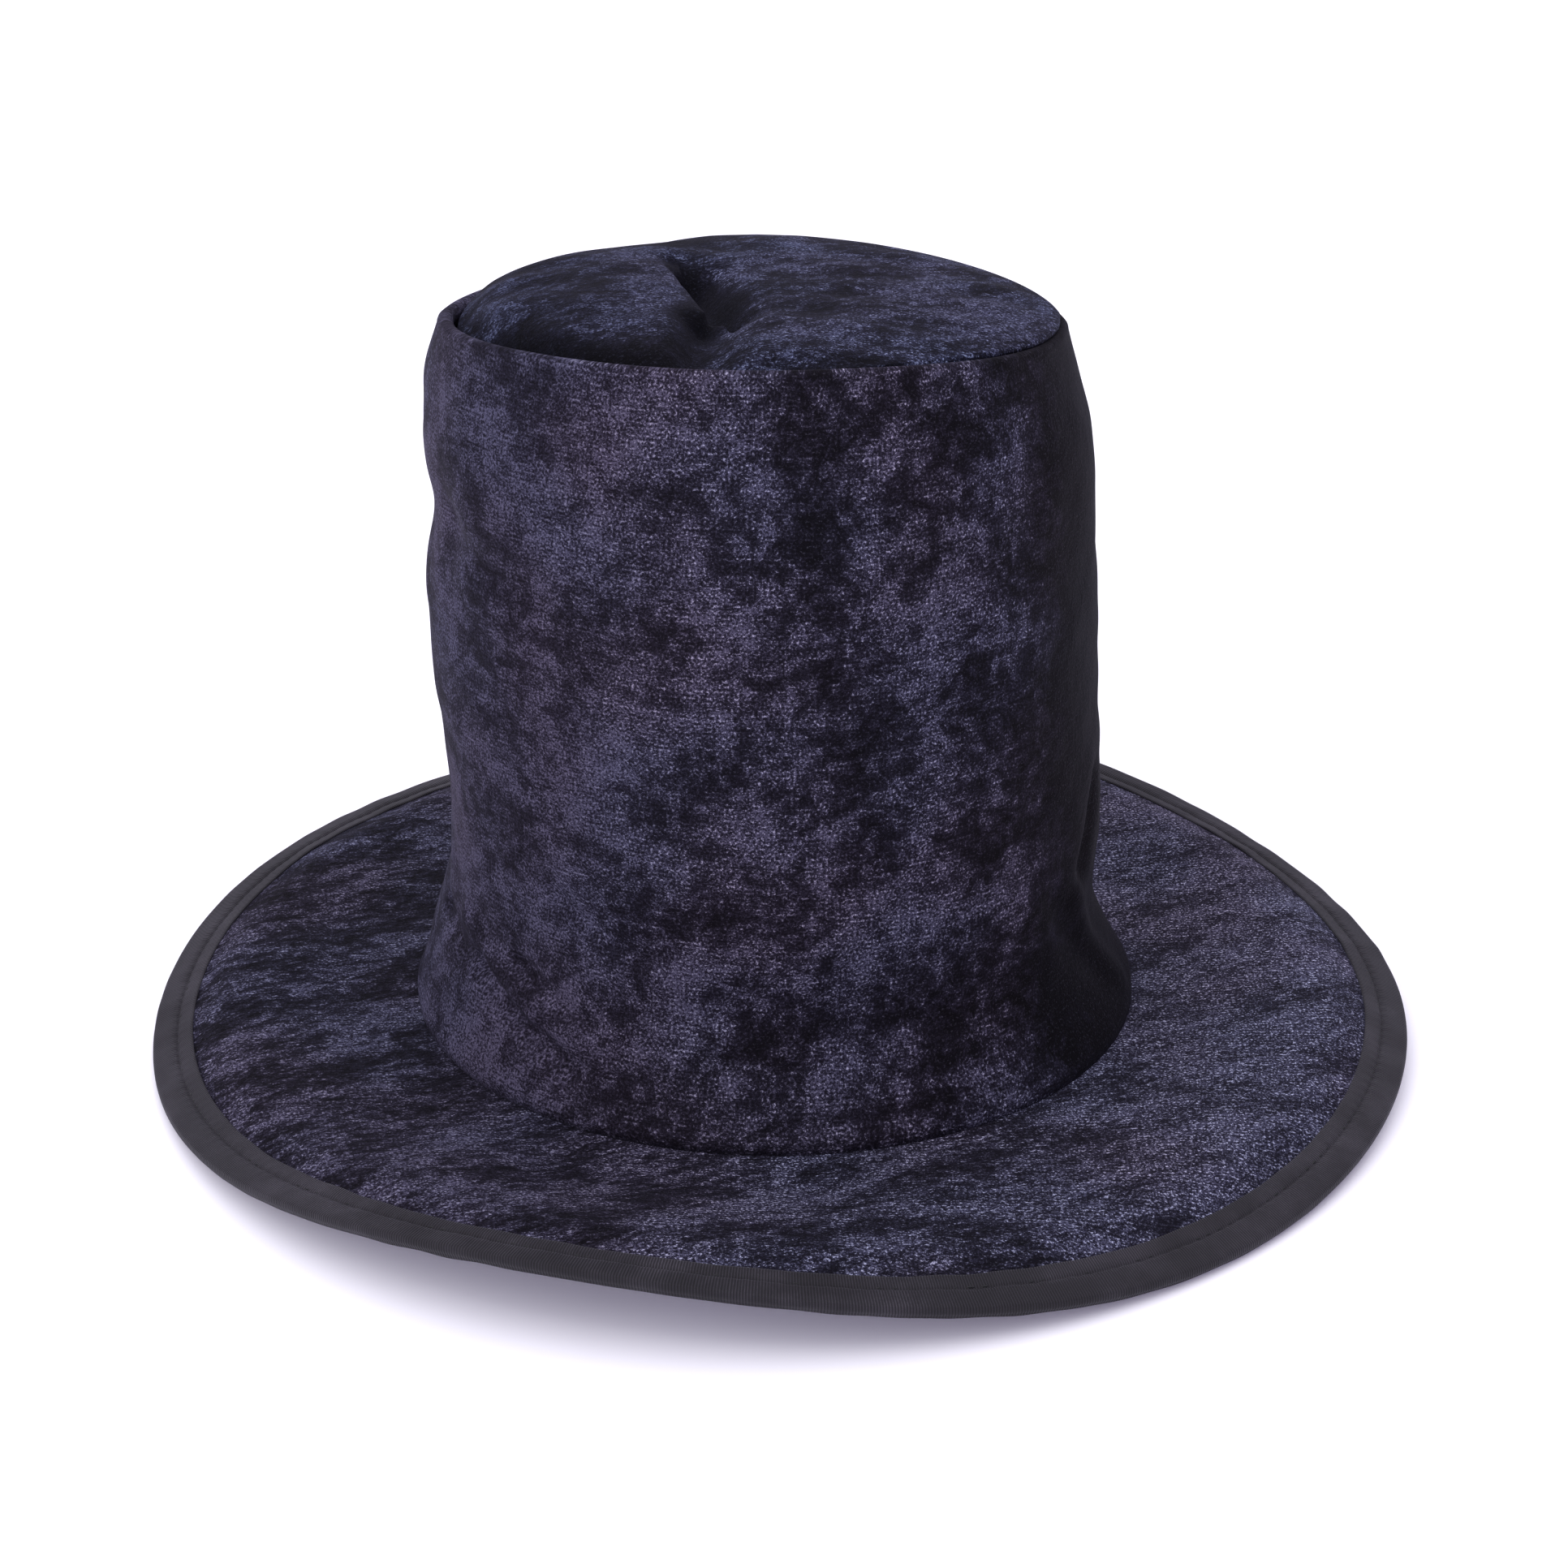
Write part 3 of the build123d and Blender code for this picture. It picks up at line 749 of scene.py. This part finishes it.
side = ring("crown_side", crown_side_section, 440, crown_velvet, "crown_side_velvet")
side_foam = ring(
    "crown_side_padding",
    crown_layer_section(VELVET + GLUE_LINE, CROWN_FOAM - 2 * GLUE_LINE, 0.3 * MM, 184.5 * MM),
    240, foam, "crown_side_foam",
)
side_lining = ring(
    "crown_side_inner",
    crown_layer_section(VELVET + CROWN_FOAM, LINING, 0.2 * MM, 183.5 * MM, 2.2 * MM, 0.9 * MM),
    360, lining, "crown_side_lining",
)

tip_radii = np.concatenate([np.linspace(1 * MM, 60 * MM, 60), np.linspace(61 * MM, TIP_RADIUS, 34)])
tip = disc("crown_tip", tip_radii, tip_point, VELVET, 300, tip_velvet, "crown_tip_velvet")


def tip_foam_place(angle, radius, depth):
    """The tip's foam, just clear of the velvet over it."""
    return tip_point(angle, radius, depth + VELVET + 0.4 * MM)


foam_radii = np.linspace(1 * MM, 70 * MM, 70)
tip_foam = disc(
    "crown_tip_padding", foam_radii, tip_foam_place, CROWN_FOAM - 0.5 * MM,
    300, foam, "crown_tip_foam",
)


def tip_lining_place(angle, radius, depth):
    """The tip's lining, gathered a little where it is sewn in."""
    gather = 0.5 + 0.5 * np.cos(34 * angle + 3 * np.sin(3 * angle))
    gather = 0.8 * MM * rising(radius, 0, TIP_RADIUS) * gather
    return tip_point(angle, radius, depth + VELVET + CROWN_FOAM + gather)


lining_radii = np.linspace(1 * MM, 73 * MM, 60)
tip_inner = disc(
    "crown_tip_inner", lining_radii, tip_lining_place, LINING, 340, tip_lining, "crown_tip_lining"
)


# ---- the brim ------------------------------------------------------------------------------------
def brim_layer_section(depth, thickness, inner, outer, step=1.9 * MM):
    def section(angle):
        out = spaced(inner, outer, step)
        radii = np.concatenate([out[::-1], out])[None, :]
        depths = np.concatenate([np.full(len(out), depth), np.full(len(out), depth + thickness)])[None, :]
        return brim_point(angle, radii, depths)
    return section


upper = ring(
    "brim_upper", brim_layer_section(0, BRIM_VELVET, BRIM_HOLE_RADIUS, BRIM_CORE_RADIUS),
    560, brim_velvet, "brim_upper_velvet",
)
board = ring(
    "brim_board",
    brim_layer_section(BRIM_VELVET + GLUE_LINE, BRIM_FOAM, BRIM_HOLE_RADIUS, BRIM_CORE_RADIUS, 4 * MM),
    360, foam, "brim_foam_board",
)
under = ring(
    "brim_under",
    brim_layer_section(BRIM_STACK - BRIM_VELVET, BRIM_VELVET, BRIM_HOLE_RADIUS, BRIM_CORE_RADIUS, 2.4 * MM),
    480, brim_velvet, "brim_under_velvet",
)
ring(
    "brim_boning",
    brim_layer_section(
        (BRIM_STACK - BONING_HEIGHT) / 2, BONING_HEIGHT,
        BONING_OUTER_RADIUS - BONING_WIDTH, BONING_OUTER_RADIUS, 0.6 * MM,
    ),
    480, boning, "brim_edge_boning",
)

# The tape's upper face, in mm: how far from its inner edge, and how high above the brim. The low
# place is the groove that the sewing pulls in.
TAPE_PROFILE = np.array((
    (0.0, 0.2), (0.2, 0.6), (1.0, 0.75), (2.6, 0.8), (3.7, 0.65), (4.2, 0.4), (4.5, 0.12),
    (4.8, 0.4), (5.3, 0.75), (6.4, 1.0), (8.0, 1.1), (9.6, 1.2), (10.8, 1.35), (11.4, 1.25),
)) * MM
TAPE_GROOVE = 4.5 * MM
TUCK_START = 5.3 * MM           # the underside is drawn in from here outwards
TAPE_SKIN = 0.5 * MM


def binding_section(angle):
    """The binding tape: in along the top, round the brim's edge and in again underneath."""
    joint = bell(turned_from(JOIN_DIRECTION, angle) * BRIM_RADIUS / JOIN_WIDTH)
    legs, rise = TAPE_PROFILE.T
    pucker = 0.10 * MM * np.cos(STITCHES_ROUND * angle) * bell((legs - TAPE_GROOVE) / (1.6 * MM))[None, :]
    wander = 0.12 * MM * soft_field(angle, legs[None, :], BRIM_RADIUS, 16 * MM, 51)
    half = BRIM_STACK / 2
    start = BRIM_RADIUS - TAPE_WIDTH - 1.0 * MM
    fold = np.linspace(0, math.pi, 15)[None, 1:-1]
    centre = start + legs[-1]
    roll = BRIM_RADIUS - centre + 0.5 * MM * joint
    tuck = EDGE_TUCK * rising(legs, TUCK_START, legs[-1])[None, :]
    radii = []
    depths = []
    for skin in (0.0, TAPE_SKIN):
        lift = np.maximum(rise[None, :] + pucker + wander + 0.35 * MM * joint - skin, 0.03 * MM)
        top_radius = np.broadcast_to(start + legs[None, :], lift.shape)
        edge_radius = centre + (roll - skin) * np.sin(fold) - EDGE_TUCK * smooth(fold / math.pi)
        edge_depth = half - (half + lift[:, -1:]) * np.cos(fold)
        radius = np.concatenate([top_radius, edge_radius, (top_radius - tuck)[:, ::-1]], axis=1)
        depth = np.concatenate([-lift, edge_depth, BRIM_STACK + lift[:, ::-1]], axis=1)
        radii.append(radius if skin == 0 else radius[:, ::-1])
        depths.append(depth if skin == 0 else depth[:, ::-1])
    return brim_point(angle, np.concatenate(radii, axis=1), np.concatenate(depths, axis=1))[:, ::-1]


binding = ring("brim_binding_tape", binding_section, 4 * STITCHES_ROUND, tape, "brim_binding")


# ---- inside the head opening ---------------------------------------------------------------------
def band_section(angle):
    """The sweatband: upright through the brim, then up the wall, with a softly rolled top edge."""
    low = -(BRIM_STACK - 0.2 * MM)
    up = spaced(low, BAND_TOP, 1.2 * MM)
    sway = 0.35 * MM * soft_field(angle, up[None, :] * 0.5, WAIST_RADIUS, 48 * MM, 61)
    sway = np.clip(sway, -0.1 * MM, 0.6 * MM) * rising(up, 0, BAND_TOP)[None, :]
    outer = CROWN_STACK + 1.0 * MM * rising(up, 6 * MM, 12 * MM)[None, :] + sway
    heights = np.concatenate([up, up[::-1]])[None, :]
    insets = np.concatenate([outer, (outer + BAND)[:, ::-1]], axis=1)
    return crown_point(angle, heights, insets)


band = ring("inner_band", band_section, 420, band_cloth, "sweatband")


def patch(name, middle, width, low, high, inset, thickness, material, node):
    """A small upright piece of cloth on the inside of the wall."""
    half = width / 2 / WAIST_RADIUS
    angle = np.linspace(middle - half, middle + half, 25)[:, None]
    up = spaced(low, high, 0.9 * MM)[None, :]
    rounding = 0.12 * MM * np.cos((angle - middle) / half * math.pi / 2)
    outer = crown_point(angle, up, inset + 0.4 * rounding)
    inner = crown_point(angle, up, inset + thickness + rounding)
    rows, columns = angle.shape[0], up.shape[1]

    def corner(skin, row, column):
        return (skin * rows + row) * columns + column

    def edge_face(first, second):
        return [corner(0, *first), corner(1, *first), corner(1, *second), corner(0, *second)]

    def turned_face(first, second):
        return [corner(0, *first), corner(0, *second), corner(1, *second), corner(1, *first)]

    faces = []
    for row in range(rows - 1):
        for column in range(columns - 1):
            spots = [(row, column), (row + 1, column), (row + 1, column + 1), (row, column + 1)]
            faces.append([corner(0, *spot) for spot in spots])
            faces.append([corner(1, *spot) for spot in spots[::-1]])
    for row in range(rows - 1):
        faces.append(edge_face((row, 0), (row + 1, 0)))
        faces.append(turned_face((row, columns - 1), (row + 1, columns - 1)))
    for column in range(columns - 1):
        faces.append(turned_face((0, column), (0, column + 1)))
        faces.append(edge_face((rows - 1, column), (rows - 1, column + 1)))
    return mesh_object(name, np.stack([outer, inner]).reshape(-1, 3), faces, material, node)


join_tape = patch(
    "band_join_tape", BACK, 12 * MM, 5 * MM, BAND_TOP - 0.8 * MM,
    CROWN_STACK + 1.0 * MM + BAND + 0.45 * MM, 0.4 * MM, join_cloth, "sweatband_join_tape",
)
label = patch(
    "plain_label", LABEL_DIRECTION, 22 * MM, BAND_TOP + 0.3 * MM, BAND_TOP + 30.3 * MM,
    CROWN_STACK + 1.5 * MM, 0.3 * MM, label_cloth, "blank_label",
)

# ---- the rows of sewing --------------------------------------------------------------------------
turned = (np.linspace(0, FULL_TURN, 1500) + BACK)[:, None]
upward = np.tile([0.0, 0.0, 1.0], (len(turned), 1))
inward = -np.concatenate([np.cos(turned), np.sin(turned), 0 * turned], axis=1)
along_tape = FULL_TURN * STITCH_RADIUS / STITCHES_ROUND / MM
climb = spaced(5 * MM, 180 * MM, 1 * MM)[:, None]
backward = np.tile([0.0, 1.0, 0.0], (len(climb), 1))

upper_row = brim_point(turned, STITCH_RADIUS, -0.24 * MM)[:, 0]
under_row = brim_point(turned, STITCH_RADIUS, BRIM_STACK + 0.20 * MM)[:, 0]
band_row = crown_point(turned, 3.6 * MM, CROWN_STACK + BAND + 0.05 * MM)[:, 0]
base_row = crown_point(turned, 0.9 * MM, VELVET + 0.15 * MM)[:, 0]
tip_row = crown_point(turned, CROWN_HEIGHT - LIP_LEG + 0.6 * MM, 2 * LIP_ROUND - 1.2 * MM)[:, 0]
back_row = crown_point(np.full_like(climb, BACK), climb, 0.1 * MM)[:, 0]

# name, CAD node, line, away from the cloth, then pitch, length and thickness in mm, and seed
SEWN_ROWS = (
    ("binding_stitches_upper", "binding_upper_stitching", upper_row, upward, along_tape, 2.7, 0.6, 71),
    ("binding_stitches_under", "binding_under_stitching", under_row, -upward, along_tape, 2.7, 0.5, 72),
    ("band_stitches", "sweatband_stitching", band_row, inward, 3.5, 2.4, 0.45, 73),
    ("base_seam_stitches", "base_seam_stitching", base_row, -inward, 3.5, 2.5, 0.3, 74),
    ("tip_seam_stitches", "tip_seam_stitching", tip_row, -inward, 3.2, 2.3, 0.3, 75),
    ("back_seam_stitches", "back_seam_stitching", back_row, backward, 3.2, 2.4, 0.4, 76),
)
for name, node, line, out, pitch, length, thickness, seed in SEWN_ROWS:
    sewn_row(name, node, line, out, pitch * MM, length * MM, thickness * MM, seed)

# ---- floor, light and camera ---------------------------------------------------------------------
FLOOR_REACH = 6.0
floor_mesh = bpy.data.meshes.new("floor")
corners = [(x * FLOOR_REACH, y * FLOOR_REACH, 0) for x, y in ((-1, -1), (1, -1), (1, 1), (-1, 1))]
floor_mesh.from_pydata(corners, [], [(0, 1, 2, 3)])
floor = bpy.data.objects.new("floor", floor_mesh)
bpy.context.scene.collection.objects.link(floor)
paper = Look("floor_paper", roughness=0.9, specular=0.1)
cloudy = paper.noise(paper.place, 0.4).outputs["Fac"]
floor_mesh.materials.append(paper.finish(
    paper.ramp(cloudy, (0.0, (0.90, 0.90, 0.91)), (1.0, (0.93, 0.93, 0.935)))
))
# The paper glows a little, a painted light that keeps the shadow pale and lilac.
paper.shader.inputs["Emission Color"].default_value = (0.72, 0.63, 1.0, 1)
paper.shader.inputs["Emission Strength"].default_value = 0.13

world = bpy.data.worlds.new("studio")
world.use_nodes = True
background = world.node_tree.nodes["Background"]
background.inputs["Color"].default_value = (0.87, 0.83, 1.0, 1)
background.inputs["Strength"].default_value = 0.75
bpy.context.scene.world = world


def soft_sun(name, direction, strength, spread):
    """A broad, even studio light that comes from a direction; spread is in degrees."""
    lamp = bpy.data.lights.new(name, "SUN")
    lamp.energy = strength
    lamp.angle = math.radians(spread)
    holder = bpy.data.objects.new(name, lamp)
    x, y, z = direction
    holder.rotation_euler = (math.atan2(math.hypot(x, y), z), 0, math.atan2(y, x) + math.pi / 2)
    bpy.context.scene.collection.objects.link(holder)


soft_sun("light_top", (0.0, 0.05, 1.0), 1.5, 70)
soft_sun("light_front_left", (-0.8, -0.7, 0.7), 1.15, 60)

LOOKING_DOWN = 24.05            # degrees below level
camera_data = bpy.data.cameras.new("camera")
camera_data.sensor_width = 36.0
camera_data.lens = 75.1
camera = bpy.data.objects.new("camera", camera_data)
camera.location = (2 * MM, -800 * MM, 426 * MM)
camera.rotation_euler = (math.radians(90 - LOOKING_DOWN), 0, 0)
bpy.context.scene.collection.objects.link(camera)
bpy.context.scene.camera = camera
bpy.context.scene.view_settings.view_transform = "Standard"
